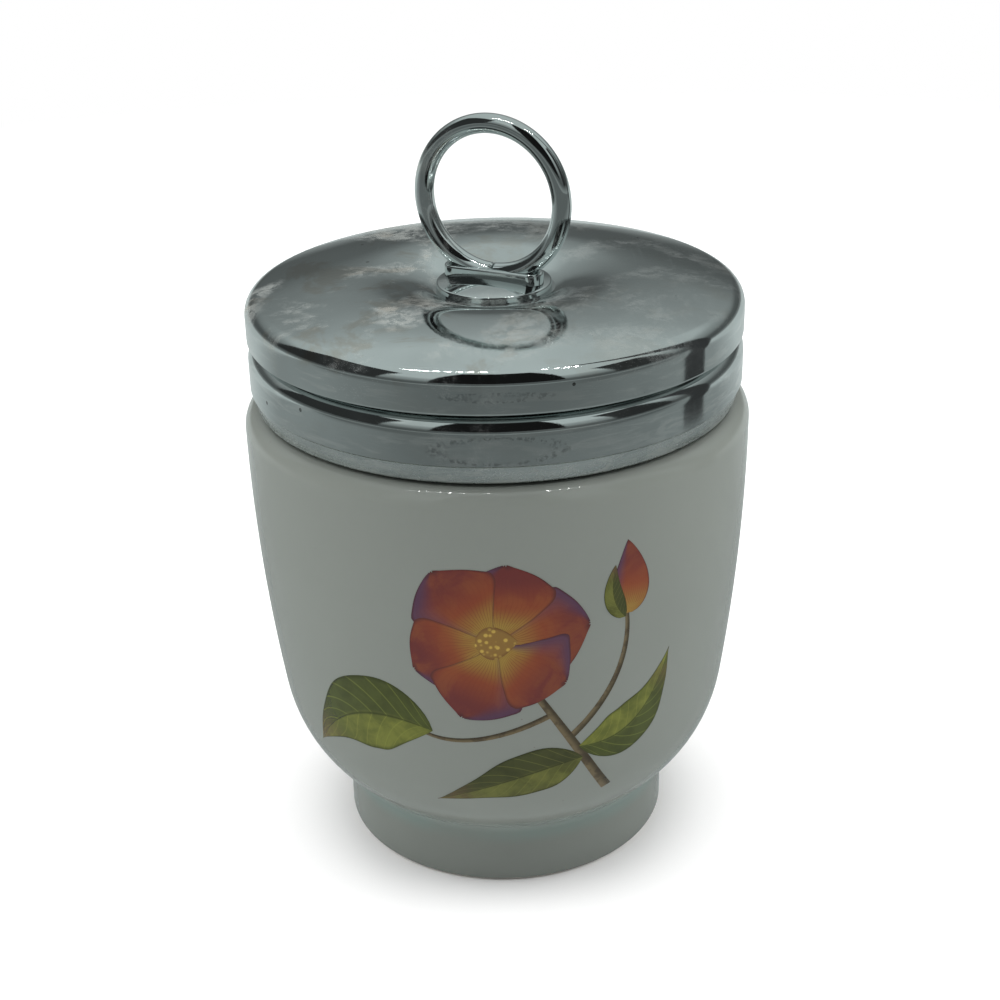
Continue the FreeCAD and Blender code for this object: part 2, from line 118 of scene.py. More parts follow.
def outline(corners, step=4.0):
    """Points of a closed outline in (radius, height). A corner is (r, z), or (r, z, radius, turn)
    where an arc leads to it, anticlockwise for a turn of 1."""
    points = []
    for number, corner in enumerate(corners):
        start = Vector(corners[number - 1][:2])
        end = Vector(corner[:2])
        if len(corner) == 2:
            chord = end - start
            inset = min(0.05, chord.length / 5)
            if chord.length > 0.4:
                points.append(start + chord.normalized() * inset)
                points.append(end - chord.normalized() * inset)
            points.append(end)
            continue
        radius, turn = corner[2], corner[3]
        chord = end - start
        rise = math.sqrt(max(radius ** 2 - (chord.length / 2) ** 2, 0.0))
        side = Vector((-chord.y, chord.x)).normalized()
        centre = (start + end) / 2 + side * rise * turn
        first = math.atan2(start.y - centre.y, start.x - centre.x)
        sweep = 2 * math.asin(min(1.0, chord.length / 2 / radius)) * turn
        count = max(3, round(abs(math.degrees(sweep)) / step), round(abs(sweep) * radius / 1.2))
        for part in range(1, count + 1):
            angle = first + sweep * part / count
            points.append(centre + radius * Vector((math.cos(angle), math.sin(angle))))
    return points


def make_mesh(name, verts, faces, smooth_angle=35.0):
    mesh = bpy.data.meshes.new(name)
    mesh.from_pydata([tuple(v * MM for v in vert) for vert in verts], [], faces)
    mesh.validate()
    for polygon in mesh.polygons:
        polygon.use_smooth = True
    mesh.set_sharp_from_angle(angle=math.radians(smooth_angle))
    piece = bpy.data.objects.new(name, mesh)
    bpy.context.scene.collection.objects.link(piece)
    return piece


def lathe(name, points, segments=192):
    """A closed outline turned about the vertical axis."""
    verts = []
    rings = []
    for point in points:
        if point.x < 1e-6:
            rings.append([len(verts)])
            verts.append((0.0, 0.0, point.y))
            continue
        rings.append(list(range(len(verts), len(verts) + segments)))
        for number in range(segments):
            angle = 2 * math.pi * number / segments
            verts.append((point.x * math.cos(angle), point.x * math.sin(angle), point.y))
    faces = []
    for number, ring in enumerate(rings):
        following = rings[(number + 1) % len(rings)]
        if len(ring) == 1 and len(following) == 1:
            continue
        for column in range(segments):
            after = (column + 1) % segments
            if len(ring) == 1:
                faces.append((ring[0], following[after], following[column]))
            elif len(following) == 1:
                faces.append((ring[column], ring[after], following[0]))
            else:
                faces.append((ring[column], ring[after], following[after], following[column]))
    return make_mesh(name, verts, faces)


def wound_ridge(name, root_r, crest_r, start_z, turns, start_angle, inward=False):
    """A helical ridge whose ends fade into the wall."""
    steps = round(turns * 120)
    flank = [(0.0, 0.9), (0.55, 0.62), (0.9, 0.45), (1.0, 0.28)]
    section = [(out, -up) for out, up in flank] + flank[::-1]
    verts = []
    faces = []
    for number in range(steps + 1):
        share = number / steps
        angle = start_angle + 2 * math.pi * turns * share
        fade = min(1.0, min(share, 1 - share) * turns * 360 / 22)
        fade = fade * fade * (3 - 2 * fade)
        for out, up in section:
            sink = 0.35 * (1 - out)
            radius = root_r + (crest_r - root_r) * out * fade + (sink if inward else -sink)
            verts.append((radius * math.cos(angle), radius * math.sin(angle),
                          start_z + PITCH * turns * share + up * (0.5 + 0.5 * fade)))
    width = len(section)
    for number in range(steps):
        for k in range(width - 1):
            a = number * width + k
            face = (a, a + width, a + width + 1, a + 1)
            faces.append(face if not inward else face[::-1])
    faces.append(tuple(range(width)))
    faces.append(tuple(range(steps * width + width - 1, steps * width - 1, -1)))
    return make_mesh(name, verts, faces)


# Cup outline, the same arcs as in the solid
WALL_CENTRE = BODY_R - WALL_CURVE
TANGENT = SHOULDER - SHOULDER_ROUND
BELLY_R = WALL_CENTRE + math.sqrt(WALL_CURVE ** 2 - (TANGENT - BELLY) ** 2)
BASE_R = BELLY_R + (WALL_CENTRE - BELLY_R) * BASE_CURVE / WALL_CURVE
BASE_Z = BELLY + (TANGENT - BELLY) * BASE_CURVE / WALL_CURVE
REACH = BASE_CURVE + FOOT_NECK_ROUND
FILLET_R = FOOT_R + FOOT_NECK_ROUND
FILLET_Z = BASE_Z - math.sqrt(REACH ** 2 - (FILLET_R - BASE_R) ** 2)


def cup_corners():
    base_r = BASE_R + (FILLET_R - BASE_R) * BASE_CURVE / REACH
    base_z = BASE_Z + (FILLET_Z - BASE_Z) * BASE_CURVE / REACH
    inner_belly_r = BELLY_R + (WALL_CENTRE - BELLY_R) * BODY_WALL / WALL_CURVE
    inner_belly_z = BELLY + (TANGENT - BELLY) * BODY_WALL / WALL_CURVE
    drop = TANGENT - INNER_SHOULDER
    inner_wall_r = WALL_CENTRE + math.sqrt((WALL_CURVE - BODY_WALL) ** 2 - drop ** 2)
    bends = INNER_ROUND + MOUTH_ROUND
    lean = 1 - (inner_wall_r - MOUTH_R) / bends
    rise = math.sqrt(1 - lean ** 2)
    floor_z = BASE_Z - (BASE_CURVE - BODY_WALL)
    return [
        (0.0, RECESS_H),
        (RECESS_R - RECESS_ROUND, RECESS_H),
        (RECESS_R, RECESS_H - RECESS_ROUND, RECESS_ROUND, -1),
        (RECESS_R, FOOT_ROUND),
        (RECESS_R + FOOT_ROUND, 0.0, FOOT_ROUND, 1),
        (FOOT_R - FOOT_ROUND, 0.0),
        (FOOT_R, FOOT_ROUND, FOOT_ROUND, 1),
        (FOOT_R, FILLET_Z),
        (base_r, base_z, FOOT_NECK_ROUND, -1),
        (BELLY_R, BELLY, BASE_CURVE, 1),
        (BODY_R, TANGENT, WALL_CURVE, 1),
        (BODY_R - SHOULDER_ROUND, SHOULDER, SHOULDER_ROUND, 1),
        (NECK_R + NECK_ROOT_ROUND, SHOULDER),
        (NECK_R, SHOULDER + NECK_ROOT_ROUND, NECK_ROOT_ROUND, -1),
        (NECK_R, RIM - RIM_ROUND),
        (NECK_R - RIM_ROUND, RIM, RIM_ROUND, 1),
        (MOUTH_R + RIM_ROUND, RIM),
        (MOUTH_R, RIM - RIM_ROUND, RIM_ROUND, 1),
        (MOUTH_R, INNER_SHOULDER + bends * rise),
        (MOUTH_R + MOUTH_ROUND * (1 - lean), INNER_SHOULDER + INNER_ROUND * rise, MOUTH_ROUND, 1),
        (inner_wall_r, INNER_SHOULDER, INNER_ROUND, -1),
        (inner_belly_r, inner_belly_z, WALL_CURVE - BODY_WALL, -1),
        (BASE_R, floor_z, BASE_CURVE - BODY_WALL, -1),
        (0.0, floor_z),
    ]


def cup_radius(z):
    """Outside radius of the cup at a height between the foot and the shoulder."""
    if z >= BELLY:
        return WALL_CENTRE + math.sqrt(WALL_CURVE ** 2 - (min(z, TANGENT) - TANGENT) ** 2)
    return BASE_R + math.sqrt(max(BASE_CURVE ** 2 - (z - BASE_Z) ** 2, 0.0))


def shell_corners():
    centre = CREST - CROWN_CURVE
    round_r = LID_R - EDGE_ROUND
    span = CROWN_CURVE - EDGE_ROUND
    round_z = centre + math.sqrt(span ** 2 - (round_r - CREST_R) ** 2)
    crown_r = CREST_R + (round_r - CREST_R) * CROWN_CURVE / span
    crown_z = centre + (round_z - centre) * CROWN_CURVE / span
    under = CROWN_CURVE - SHEET
    under_r = CREST_R + (round_r - CREST_R) * under / span
    under_z = centre + (round_z - centre) * under / span
    depth = CREST - SEAT
    dish = ((CREST_R - SEAT_R) ** 2 + depth ** 2) / (2 * depth)
    below = dish - SHEET
    under_seat_r = CREST_R - math.sqrt(below ** 2 - (SEAT - SHEET - CREST + dish) ** 2)
    wall = LID_R - SHEET
    band_r = LID_R - BAND_ROUND
    bulge = GROOVE / 2 + SHEET
    lip_inner = LIP_R - SHEET
    return [
        (SPIGOT_R + SPIGOT_GAP, SEAT),
        (SPIGOT_R + SPIGOT_GAP, SEAT - SHEET),
        (under_seat_r, SEAT - SHEET),
        (CREST_R, CREST - SHEET, below, -1),
        (under_r, under_z, under, -1),
        (wall, round_z, EDGE_ROUND - SHEET, -1),
        (wall, GROOVE_TOP + SHEET),
        (band_r, GROOVE_TOP + SHEET),
        (band_r - bulge, GROOVE_TOP - GROOVE / 2, bulge, 1),
        (band_r, GROOVE_LOW - SHEET, bulge, 1),
        (wall, BAND_TOP, BAND_ROUND - SHEET, -1),
        (wall, LIP_TOP),
        (wall - LIP_STEP, LIP_TOP - LIP_STEP),
        (lip_inner, LINER_LOW),
        (lip_inner - CURL, LINER_LOW),
        (lip_inner - CURL, LIP_LOW),
        (LIP_R - LIP_EDGE, LIP_LOW),
        (LIP_R, LIP_LOW + LIP_EDGE, LIP_EDGE, 1),
        (LID_R - LIP_STEP, LIP_TOP - LIP_STEP),
        (LID_R, LIP_TOP),
        (LID_R, BAND_TOP),
        (band_r, GROOVE_LOW, BAND_ROUND, 1),
        (band_r - GROOVE / 2, GROOVE_TOP - GROOVE / 2, GROOVE / 2, -1),
        (band_r, GROOVE_TOP, GROOVE / 2, -1),
        (LID_R - CREASE, GROOVE_TOP),
        (LID_R, GROOVE_TOP + CREASE, CREASE, 1),
        (LID_R, round_z),
        (crown_r, crown_z, EDGE_ROUND, 1),
        (CREST_R, CREST, CROWN_CURVE, 1),
        (SEAT_R, SEAT, dish, 1),
    ]


def boss_corners():
    centre = BOSS_TOP - DOME_CURVE
    round_r = BOSS_R - BOSS_EDGE
    inner = DOME_CURVE - BOSS_EDGE
    round_z = centre + math.sqrt(inner ** 2 - round_r ** 2)
    return [
        (0.0, HEAD_LOW),
        (HEAD_R - HEAD_ROUND, HEAD_LOW),
        (HEAD_R, HEAD_LOW + HEAD_ROUND, HEAD_ROUND, 1),
        (HEAD_R, WASHER_LOW),
        (SPIGOT_R, WASHER_LOW),
        (SPIGOT_R, SEAT),
        (BOSS_R, SEAT),
        (BOSS_R, round_z),
        (round_r * DOME_CURVE / inner, centre + (round_z - centre) * DOME_CURVE / inner, BOSS_EDGE, 1),
        (0.0, BOSS_TOP, DOME_CURVE, 1),
    ]


def washer_corners():
    bore = SPIGOT_R + WASHER_CLEARANCE
    return [
        (bore, WASHER_LOW + 0.1),
        (bore + 0.1, WASHER_LOW),
        (WASHER_R - 0.2, WASHER_LOW),
        (WASHER_R, WASHER_LOW + 0.2, 0.2, 1),
        (WASHER_R, WASHER_TOP),
        (bore, WASHER_TOP),
    ]


def liner_corners():
    return [
        (LINER_BORE, LINER_LOW + 0.15),
        (LINER_BORE + 0.15, LINER_LOW),
        (LINER_R, LINER_LOW),
        (LINER_R, LINER_TOP - 0.4),
        (LINER_R - 0.4, LINER_TOP),
        (LINER_BORE + 0.15, LINER_TOP),
        (LINER_BORE, LINER_TOP - 0.15),
    ]


def wire_ring(name):
    """Ring of round wire, flat under its lowest point, whose two ends meet there in a small notch."""
    across = 40
    gap = 0.22
    steps = 180
    verts = []
    for number in range(steps + 1):
        share = number / steps
        travel = gap / RING_R / 2 + (2 * math.pi - gap / RING_R) * share
        near = min(travel, 2 * math.pi - travel) * RING_R - gap / 2
        wire = WIRE_R * (0.8 + 0.2 * math.sqrt(max(0.0, 1 - (1 - min(1.0, near / 0.42)) ** 2)))
        for k in range(across):
            angle = 2 * math.pi * k / across
            radius = RING_R + wire * math.cos(angle)
            z = RING_Z - radius * math.cos(travel)
            verts.append((radius * math.sin(travel), wire * math.sin(angle), max(z, BOSS_TOP)))
    faces = []
    for number in range(steps):
        for k in range(across):
            a = number * across + k
            b = number * across + (k + 1) % across
            faces.append((a, b, b + across, a + across))
    faces.append(tuple(range(across - 1, -1, -1)))
    faces.append(tuple(range(steps * across, steps * across + across)))
    piece = make_mesh(name, verts, faces)
    piece.data.transform(Matrix.Rotation(RING_YAW, 4, "Z"))
    return piece


def saddle(name):
    """Oblong foot under the ring, rounded at the top and hollowed below to the dome of the boss."""
    straight = SADDLE_LENGTH / 2 - SADDLE_HALF
    around = []
    for number in range(96):
        angle = 2 * math.pi * number / 96
        around.append((math.cos(angle), math.sin(angle), straight if math.cos(angle) >= 0 else -straight))
    levels = [(0.0, None), (0.0, SADDLE_TOP - SADDLE_EDGE)]
    for number in range(1, 7):
        angle = math.radians(15 * number)
        inset = SADDLE_EDGE * (1 - math.cos(angle))
        levels.append((inset, SADDLE_TOP - SADDLE_EDGE + SADDLE_EDGE * math.sin(angle)))
    levels.append((0.6, SADDLE_TOP))
    verts = []
    for inset, z in levels:
        for c, s, shift in around:
            x = shift + (SADDLE_HALF - inset) * c
            y = (SADDLE_HALF - inset) * s
            dome = BOSS_TOP + BRAZE_GAP - DOME_CURVE + math.sqrt(DOME_CURVE ** 2 - x * x - y * y)
            verts.append((x, y, dome if z is None else z))
    faces = []
    for level in range(len(levels) - 1):
        for k in range(96):
            a = level * 96 + k
            b = level * 96 + (k + 1) % 96
            faces.append((a, b, b + 96, a + 96))
    faces.append(tuple(range(95, -1, -1)))
    faces.append(tuple((len(levels) - 1) * 96 + k for k in range(96)))
    piece = make_mesh(name, verts, faces)
    piece.data.transform(Matrix.Rotation(RING_YAW, 4, "Z"))
    return piece


# Node materials

class Nodes:
    """Short calls for building one material's nodes."""

    def __init__(self, name):
        self.material = bpy.data.materials.new(name)
        self.material.use_nodes = True
        self.tree = self.material.node_tree
        self.tree.nodes.clear()
        self.out = self.tree.nodes.new("ShaderNodeOutputMaterial")
        self.shader = self.tree.nodes.new("ShaderNodeBsdfPrincipled")
        self.tree.links.new(self.shader.outputs["BSDF"], self.out.inputs["Surface"])

    def link(self, source, target):
        self.tree.links.new(source, target)

    def feed(self, socket, value):
        if isinstance(value, bpy.types.NodeSocket):
            self.link(value, socket)
        else:
            socket.default_value = value

    def position(self):
        return self.tree.nodes.new("ShaderNodeTexCoord").outputs["Object"]

    def scaled(self, vector, scale):
        node = self.tree.nodes.new("ShaderNodeVectorMath")
        node.operation = "MULTIPLY"
        self.link(vector, node.inputs[0])
        node.inputs[1].default_value = scale
        return node.outputs["Vector"]

    def noise(self, vector, scale, detail=4.0, rough=0.55, warp=0.0):
        node = self.tree.nodes.new("ShaderNodeTexNoise")
        self.link(vector, node.inputs["Vector"])
        node.inputs["Scale"].default_value = scale
        node.inputs["Detail"].default_value = detail
        node.inputs["Roughness"].default_value = rough
        node.inputs["Distortion"].default_value = warp
        return node.outputs["Fac"]

    def cells(self, vector, scale):
        node = self.tree.nodes.new("ShaderNodeTexVoronoi")
        self.link(vector, node.inputs["Vector"])
        node.inputs["Scale"].default_value = scale
        return node.outputs["Distance"]

    def ramp(self, value, low, high, start=0.0, end=1.0):
        node = self.tree.nodes.new("ShaderNodeMapRange")
        node.interpolation_type = "SMOOTHSTEP"
        self.link(value, node.inputs["Value"])
        node.inputs["From Min"].default_value = low
        node.inputs["From Max"].default_value = high
        node.inputs["To Min"].default_value = start
        node.inputs["To Max"].default_value = end
        return node.outputs["Result"]

    def math(self, operation, a, b=0.0):
        node = self.tree.nodes.new("ShaderNodeMath")
        node.operation = operation
        self.feed(node.inputs[0], a)
        self.feed(node.inputs[1], b)
        return node.outputs[0]

    def mix(self, share, a, b):
        node = self.tree.nodes.new("ShaderNodeMix")
        node.data_type = "RGBA"
        self.feed(node.inputs[0], share)
        self.feed(node.inputs[6], a if isinstance(a, bpy.types.NodeSocket) else (*a, 1.0))
        self.feed(node.inputs[7], b if isinstance(b, bpy.types.NodeSocket) else (*b, 1.0))
        return node.outputs[2]

    def parts(self, vector):
        node = self.tree.nodes.new("ShaderNodeSeparateXYZ")
        self.link(vector, node.inputs[0])
        return node.outputs

    def bump(self, height, strength, distance):
        node = self.tree.nodes.new("ShaderNodeBump")
        node.inputs["Strength"].default_value = strength
        node.inputs["Distance"].default_value = distance
        self.link(height, node.inputs["Height"])
        return node.outputs["Normal"]

    def set(self, **values):
        names = {
            "color": "Base Color", "metal": "Metallic", "rough": "Roughness",
            "normal": "Normal", "ior": "IOR",
        }
        for key, value in values.items():
            socket = self.shader.inputs[names[key]]
            if key == "color" and not isinstance(value, bpy.types.NodeSocket):
                value = (*value, 1.0)
            self.feed(socket, value)


def chrome(name, tarnish=1.0, tint=(0.62, 0.67, 0.665), scuffs_and_painted_reflections=False):
    """Plated metal: mirror bright, with stains, pits and fine scratches."""
    n = Nodes(name)
    place = n.position()
    x, y, z = n.parts(place)[0:3]
    broad = n.noise(place, 70.0, 5.0, 0.62, 0.4)
    fine = n.noise(place, 520.0, 6.0, 0.7, 0.6)
    # Stains gather on the left of the top; the walls stay nearly clean
    side = n.math("MULTIPLY", n.ramp(x, 0.016, -0.014, 0.3, 1.0), n.ramp(z, 0.0700, 0.0715, 0.16, 1.0))
    stain = n.math("MULTIPLY", n.ramp(broad, 0.48, 0.62), n.ramp(fine, 0.42, 0.56, 0.1, 1.0))
    stain = n.math("MULTIPLY", stain, side)
    cloud = n.ramp(n.noise(place, 38.0, 3.0, 0.5, 0.2), 0.35, 0.7)
    color = n.mix(n.math("MULTIPLY", cloud, 0.8 * tarnish), tint, tuple(0.7 * c for c in tint))
    color = n.mix(n.math("MULTIPLY", stain, 0.6 * tarnish), color, (0.50, 0.51, 0.47))
    warm = n.math("MULTIPLY", n.ramp(n.noise(place, 130.0, 4.0, 0.65, 0.5), 0.50, 0.64), 0.6 * tarnish)
    color = n.mix(n.math("MULTIPLY", warm, side), color, (0.47, 0.44, 0.38))
    specks = n.math("LESS_THAN", n.cells(place, 230.0), 0.055)
    specks = n.math("MULTIPLY", specks, n.ramp(n.noise(place, 45.0, 1.0), 0.5, 0.56))
    color = n.mix(n.math("MULTIPLY", specks, 0.85), color, (0.05, 0.05, 0.045))
    lines = n.noise(n.scaled(place, (900.0, 60.0, 300.0)), 1.0, 2.0, 0.5)
    lines = n.ramp(lines, 0.62, 0.72)
    rough = n.math("ADD", n.math("MULTIPLY", stain, 0.2 * tarnish), n.math("MULTIPLY", lines, 0.05))
    rough = n.math("ADD", rough, n.ramp(cloud, 0.0, 1.0, 0.04, 0.04 + 0.07 * tarnish))
    height = n.math("ADD", n.math("MULTIPLY", fine, 0.25), n.math("MULTIPLY", specks, -0.6))
    if scuffs_and_painted_reflections:
        # Rubbed lip, and two painted reflections on the front of the bands: a dark ring on the lower band and
        # a dark oval on the upper one
        lip = n.ramp(z, 0.0610, 0.0614, 1.0, 0.0)
        rub = n.noise(n.scaled(place, (420.0, 420.0, 1300.0)), 1.0, 5.0, 0.7, 0.8)
        color = n.mix(n.math("MULTIPLY", lip, n.ramp(rub, 0.42, 0.68, 0.0, 0.8)), color, (0.80, 0.82, 0.80))
        rough = n.math("ADD", rough, n.math("MULTIPLY", lip, n.ramp(rub, 0.3, 0.7, 0.08, 0.34)))
        grain = n.ramp(n.noise(place, 1900.0, 3.0, 0.7), 0.46, 0.6)
        haze = n.noise(n.scaled(place, (150.0, 150.0, 900.0)), 1.0, 4.0, 0.6, 0.5)
        wall = n.math("MULTIPLY", n.ramp(haze, 0.48, 0.66), n.ramp(z, 0.0700, 0.0712, 0.35, 0.0))
        color = n.mix(wall, color, (0.80, 0.82, 0.80))
        front = n.math("LESS_THAN", y, 0.0)
        # Painted reflections: dark shapes painted at the front centre of the bands, an elliptical ring below
        # and a filled oval above
        painted_reflection_shapes = ((7.1, 63.25, 1.55, 0.72, 0.5), (5.6, 69.45, 0.55, 0.0, 0.4))
        for width, middle, half, inner, strength in painted_reflection_shapes:
            along = n.math("MULTIPLY", x, 1000.0 / width)
            off = n.math("MULTIPLY", n.math("SUBTRACT", z, middle * MM), 1000.0 / half)
            squares = n.math("ADD", n.math("MULTIPLY", along, along), n.math("MULTIPLY", off, off))
            reach = n.math("SQRT", squares)
            painted_reflection = n.math("MULTIPLY", n.ramp(reach, inner, 0.98), n.ramp(reach, 0.98, 1.2, 1.0, 0.0))
            painted_reflection = n.math("MULTIPLY", n.math("MULTIPLY", painted_reflection, front), grain)
            color = n.mix(n.math("MULTIPLY", painted_reflection, strength), color, (0.16, 0.17, 0.17))
    film = n.math("SUBTRACT", 1.0, n.math("MULTIPLY", stain, 0.28 * tarnish))
    dents = n.noise(place, 60.0, 2.0, 0.5)
    height = n.math("ADD", height, n.math("MULTIPLY", dents, 1.1 * tarnish))
    n.set(color=color, metal=film, rough=rough, normal=n.bump(height, 0.06, 0.0003))
    return n.material


def satin_metal(name, tint, rough=0.32):
    """Plain rolled metal with turning lines."""
    n = Nodes(name)
    place = n.position()
    lines = n.noise(n.scaled(place, (40.0, 40.0, 5200.0)), 1.0, 3.0, 0.6)
    dull = n.noise(place, 160.0, 4.0, 0.6)
    color = n.mix(n.ramp(lines, 0.3, 0.7), tint, tuple(0.8 * c for c in tint))
    color = n.mix(n.math("MULTIPLY", n.ramp(dull, 0.5, 0.75), 0.5), color, tuple(0.6 * c for c in tint))
    n.set(color=color, metal=1.0, rough=n.ramp(dull, 0.3, 0.7, rough - 0.08, rough + 0.1),
          normal=n.bump(lines, 0.15, 0.0001))
    return n.material


def porcelain(name):
    """Grey-white porcelain under a clear glaze, greener where the glaze is thick, bare at the foot's edge."""
    n = Nodes(name)
    place = n.position()
    z = n.parts(place)[2]
    soft = n.noise(place, 28.0, 2.0, 0.5)
    color = n.mix(n.ramp(soft, 0.3, 0.7), GLAZE, tuple(0.95 * c for c in GLAZE))
    pool = n.math("MULTIPLY", n.ramp(z, 0.0052, 0.0074), n.ramp(z, 0.0074, 0.0104, 1.0, 0.0))
    pool = n.math("MULTIPLY", pool, n.ramp(n.noise(place, 90.0, 3.0, 0.6), 0.3, 0.65, 0.35, 1.0))
    color = n.mix(n.math("MULTIPLY", pool, 0.6), color, POOL)
    dust = n.math("MULTIPLY", n.math("LESS_THAN", n.cells(place, 420.0), 0.045),
                  n.ramp(n.noise(place, 60.0, 1.0), 0.54, 0.58))
    color = n.mix(n.math("MULTIPLY", dust, 0.5), color, (0.12, 0.11, 0.09))
    bare = n.ramp(z, 0.00015, 0.0005, 1.0, 0.0)
    color = n.mix(bare, color, (0.36, 0.34, 0.29))
    rough = n.ramp(bare, 0.0, 1.0, 0.05, 0.65)
    waves = n.noise(place, 95.0, 2.0, 0.45)
    n.set(color=color, rough=rough, ior=1.5, normal=n.bump(waves, 0.12, 0.0006))
    return n.material


GLAZE = (0.195, 0.213, 0.193)
POOL = (0.17, 0.235, 0.215)

plate = chrome("lid_chrome", scuffs_and_painted_reflections=True)
ring_plate = chrome("ring_chrome", 0.35)
liner_metal = satin_metal("liner_metal", (0.60, 0.61, 0.60))
washer_metal = satin_metal("washer_metal", (0.52, 0.53, 0.53), 0.3)
glaze = porcelain("glazed_porcelain")


def fit(piece, body, slot, material, *nodes):
    """Puts a finished piece on its body, in place of its solids."""
    piece.data.materials.clear()
    piece.data.materials.append(material)
    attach(piece, body)
    if nodes:
        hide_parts(*nodes)


cup = lathe("porcelain_cup", outline(cup_corners()), 224)
fit(cup, "cup", "porcelain", glaze, "cup")
neck_thread = wound_ridge("neck_thread", NECK_R, NECK_CREST, NECK_THREAD, 1.1, 0.0)
fit(neck_thread, "cup", "porcelain", glaze)

shell = lathe("lid_cap", outline(shell_corners()), 224)
fit(shell, "lid", "lid_plate", plate, "lid_shell")
boss = lathe("ring_boss_turned", outline(boss_corners()), 128)
fit(boss, "lid", "ring_plate", ring_plate, "ring_boss")
ring = wire_ring("wire_ring")
fit(ring, "lid", "ring_plate", ring_plate, "ring")
foot = saddle("ring_foot")
fit(foot, "lid", "ring_plate", ring_plate, "ring_saddle")
liner = lathe("threaded_liner", outline(liner_corners()), 160)
fit(liner, "lid", "liner_metal", liner_metal, "thread_liner")
timing = math.radians(360 * (LINER_THREAD + THREAD_OFFSET - NECK_THREAD) / PITCH)
liner_thread = wound_ridge("liner_ridge", LINER_BORE, LINER_CREST, LINER_THREAD, 0.7, timing, True)
fit(liner_thread, "lid", "liner_metal", liner_metal)
washer = lathe("washer_disc", outline(washer_corners()), 96)
fit(washer, "lid_carrier", "washer_metal", washer_metal, "backing_washer")


# Printed sprig on the front of the cup: thin closed patches that follow the wall.
# Places are (distance round the wall, height) in millimetres.

PRINT_SIZE = 1.1
PRINT_LEFT = -2.4
PRINT_UP = 2.6


def bend(points, share):
    """A point and the direction on a smooth curve through three points."""
    first, middle, last = (Vector(point) for point in points)
    control = 2 * middle - (first + last) / 2
    place = (1 - share) ** 2 * first + 2 * share * (1 - share) * control + share ** 2 * last
    direction = 2 * (1 - share) * (control - first) + 2 * share * (last - control)
    return place, direction.normalized()


def patch(name, points, width, profile, level, material, steps, across, ruffle=0.0):
    """A patch along a curve; the profile gives half its width, from 0 to 1, at each share of its length."""
    points = [(PRINT_SIZE * u + PRINT_LEFT, PRINT_SIZE * v + PRINT_UP) for u, v in points]
    width *= PRINT_SIZE
    verts = []
    coordinates = []
    for height in (level, -0.02):
        for number in range(steps + 1):
            share = 1 - (1 - number / steps) ** 1.5
            place, direction = bend(points, share)
            side = Vector((-direction.y, direction.x))
            for k in range(across + 1):
                t = 2 * k / across - 1
                wave = 1 + ruffle * math.sin(19 * share + 3 * t) * share
                spot = place + side * t * width * profile(share) * wave
                if t:
                    spot += direction * ruffle * 0.5 * width * math.sin(7 * t) * share ** 3
                radius = cup_radius(spot.y)
                angle = spot.x / radius
                radius += height
                verts.append((radius * math.sin(angle), -radius * math.cos(angle), spot.y))
                coordinates.append((share, (t + 1) / 2))
    row = across + 1
    count = (steps + 1) * row
    faces = []
    for number in range(steps):
        for k in range(across):
            a = number * row + k
            faces.append((a, a + row, a + row + 1, a + 1))
            faces.append(tuple(count + v for v in (a, a + 1, a + row + 1, a + row)))
    edge = [number * row for number in range(steps + 1)]
    edge += [steps * row + k for k in range(1, row)]
    edge += [number * row + across for number in range(steps - 1, -1, -1)]
    edge += [k for k in range(across - 1, 0, -1)]
    for number, a in enumerate(edge):
        b = edge[(number + 1) % len(edge)]
        faces.append((a, a + count, b + count, b))
    piece = make_mesh(name, verts, faces, 60.0)
    layer = piece.data.uv_layers.new(name="UVMap")
    for loop in piece.data.loops:
        layer.data[loop.index].uv = coordinates[loop.vertex_index]
    # The outline runs the other way where the curve turns back
    fronts = list(piece.data.polygons)[:60:2]
    outward = sum(polygon.normal.dot(polygon.center * Vector((1, 1, 0))) for polygon in fronts)
    if outward < 0:
        piece.data.flip_normals()
    fit(piece, "cup", "porcelain", material)
    return piece


def leaf_profile(share):
    return max(0.012, math.sin(math.pi * min(1.0, share) ** 0.74) ** 1.12)


def petal_profile(share):
    spread = 0.16 + 0.84 * math.sin(math.pi * min(1.0, share * 0.86) ** 1.35)
    return max(0.05, spread * min(1.0, (1.0001 - share) * 3.2) ** 0.5)


def stem_profile(share):
    return 1 - 0.45 * share


def bud_profile(share):
    return max(0.02, math.sin(math.pi * share ** 0.75) ** 0.8)


def print_inks(name, build):
    """Printed colour under the same glaze; build gets the nodes, the share along and the place across."""
    n = Nodes(name)
    place = n.position()
    texture = n.tree.nodes.new("ShaderNodeTexCoord").outputs["UV"]
    along, over = n.parts(texture)[0:2]
    t = n.math("SUBTRACT", n.math("MULTIPLY", over, 2.0), 1.0)
    color = build(n, place, along, t, n.math("ABSOLUTE", t))
    waves = n.noise(place, 95.0, 2.0, 0.45)
    rough = n.ramp(waves, 0.0, 1.0, 0.05, 0.06)
    n.set(color=color, rough=rough, ior=1.5, normal=n.bump(waves, 0.12, 0.0006))
    return n.material


